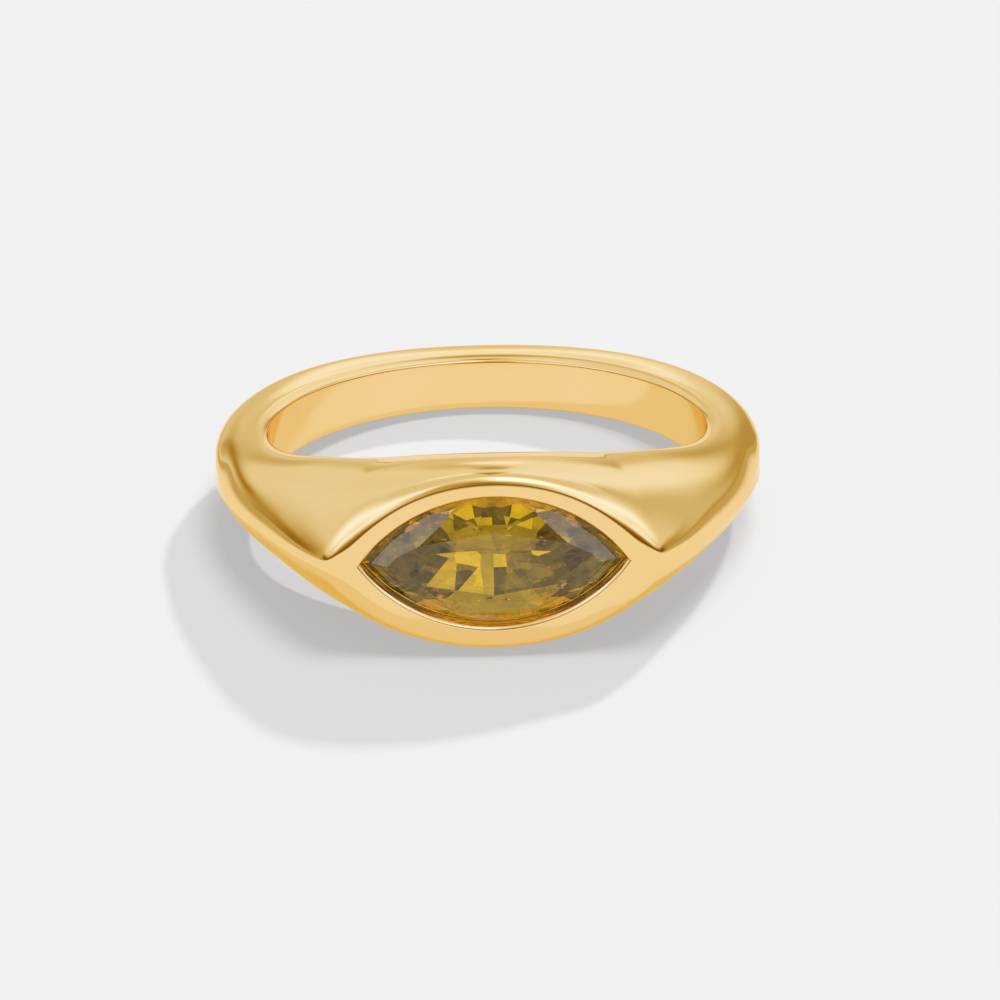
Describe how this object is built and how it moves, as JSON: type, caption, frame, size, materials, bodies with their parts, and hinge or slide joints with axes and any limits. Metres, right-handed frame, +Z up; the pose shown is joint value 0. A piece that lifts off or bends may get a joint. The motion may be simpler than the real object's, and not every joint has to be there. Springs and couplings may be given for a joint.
{
  "type": "crystal ring",
  "caption": "Polished yellow-gold finger ring that swells from a slim shank to a flat pointed front, set flush with a long pointed olive crystal; it lies on its side.",
  "frame": {"origin": "middle of the ring's footprint on the surface it lies on: the lowest points of the front and of the back touch Z 0", "axes": "+Z up from the surface, the stone's front faces -Y and is a little raised, the stone's long axis lies along X; the finger's axis leans from +Z by the ring's rest tilt of 7.2 degrees towards +Y"},
  "size_m": [0.0214, 0.0226, 0.0074],
  "materials": {
    "gold": "mirror-polished yellow gold plating over a cast band",
    "crystal": "transparent olive-yellow crystal, flat polished facets"
  },
  "bodies": {
    "root": {"band": "gold", "stone": "crystal"}
  },
  "joints": []
}
